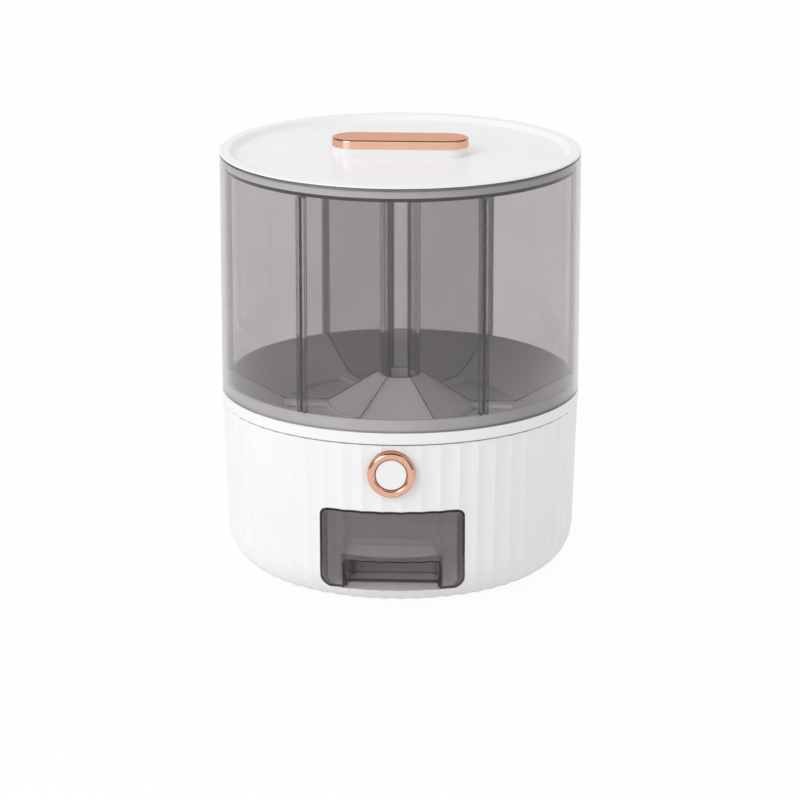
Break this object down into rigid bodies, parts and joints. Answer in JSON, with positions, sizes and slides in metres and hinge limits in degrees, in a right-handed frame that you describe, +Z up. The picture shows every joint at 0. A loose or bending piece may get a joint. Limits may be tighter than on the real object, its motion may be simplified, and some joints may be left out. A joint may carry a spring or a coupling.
{
  "type": "rotating grain dispenser",
  "caption": "Round grain dispenser: a clear bin of sector compartments turns on a fluted base with a push-button gate and a pull-out drawer, under a lift-off lid.",
  "frame": {"origin": "on the table under the spindle, at the middle of the standing face", "axes": "+Z up along the spindle, drawer and button on the -Y side, +X to the right seen from the front"},
  "size_m": [0.23, 0.2335, 0.28],
  "materials": {
    "white_plastic": "satin moulded",
    "smoke_clear": "clear, smoke tinted",
    "rose_gold": "plated rose gold",
    "natural_acetal": "plain moulded",
    "steel": "zinc plated",
    "black_rubber": "matte",
    "clear_silicone": "soft satin",
    "grey_silicone": "soft satin"
  },
  "bodies": {
    "base": {"base_shell": "white_plastic", "foot_ring": "black_rubber", "base_deck": "white_plastic", "deck_screws": "steel", "drawer_guide": "white_plastic", "guide_screws": "steel", "chute_duct": "natural_acetal", "chute_screws": "steel", "gate_seal": "clear_silicone", "button_ring": "rose_gold", "button_spring": "steel", "spindle_pin": "steel", "spindle_washer": "steel", "spindle_screw": "steel"},
    "button": {"button_cap": "white_plastic", "push_yoke": "natural_acetal", "yoke_screw": "steel"},
    "gate": {"gate_flap": "natural_acetal", "gate_shaft": "steel", "gate_lever_left": "natural_acetal", "gate_lever_right": "natural_acetal"},
    "drawer": {"drawer_tray": "smoke_clear"},
    "cage": {"ball_cage": "natural_acetal", "bearing_balls": "steel"},
    "bin": {"funnel_tray": "white_plastic", "hub_bush": "natural_acetal", "bin_shell": "smoke_clear", "centre_column": "smoke_clear", "column_cap": "white_plastic", "divider_1": "smoke_clear", "divider_2": "smoke_clear", "divider_3": "smoke_clear", "divider_4": "smoke_clear", "divider_5": "smoke_clear", "divider_6": "smoke_clear"},
    "lid": {"lid_disc": "white_plastic", "lid_seal": "grey_silicone", "handle_pedestal": "white_plastic", "handle_cap": "rose_gold", "handle_screws": "steel"}
  },
  "joints": [
    {"name": "bin_turn", "type": "hinge", "parent": "base", "child": "bin", "pos_m": [0, 0, 0.11], "axis": [0, 0, 1], "continuous": true},
    {"name": "cage_turn", "type": "hinge", "parent": "base", "child": "cage", "pos_m": [0, 0, 0.104], "axis": [0, 0, 1], "continuous": true},
    {"name": "lid_lift", "type": "slide", "parent": "bin", "child": "lid", "axis": [0, 0, 1], "range_m": [0, 0.1]},
    {"name": "drawer_pull", "type": "slide", "parent": "base", "child": "drawer", "axis": [0, -1, 0], "range_m": [0, 0.095]},
    {"name": "button_press", "type": "slide", "parent": "base", "child": "button", "axis": [0, 1, 0], "range_m": [0, 0.008], "stiffness_N_per_m": 300, "springref_m": -0.004, "deforming": ["button_spring"]},
    {"name": "gate_swing", "type": "hinge", "parent": "base", "child": "gate", "pos_m": [0, -0.044, 0.095], "axis": [1, 0, 0], "range_deg": [0, 45]}
  ],
  "couplings": [
    {"joint": "cage_turn", "follows": "bin_turn", "ratio": 0.5},
    {"joint": "gate_swing", "follows": "button_press", "rad_per_m": 98.174}
  ]
}
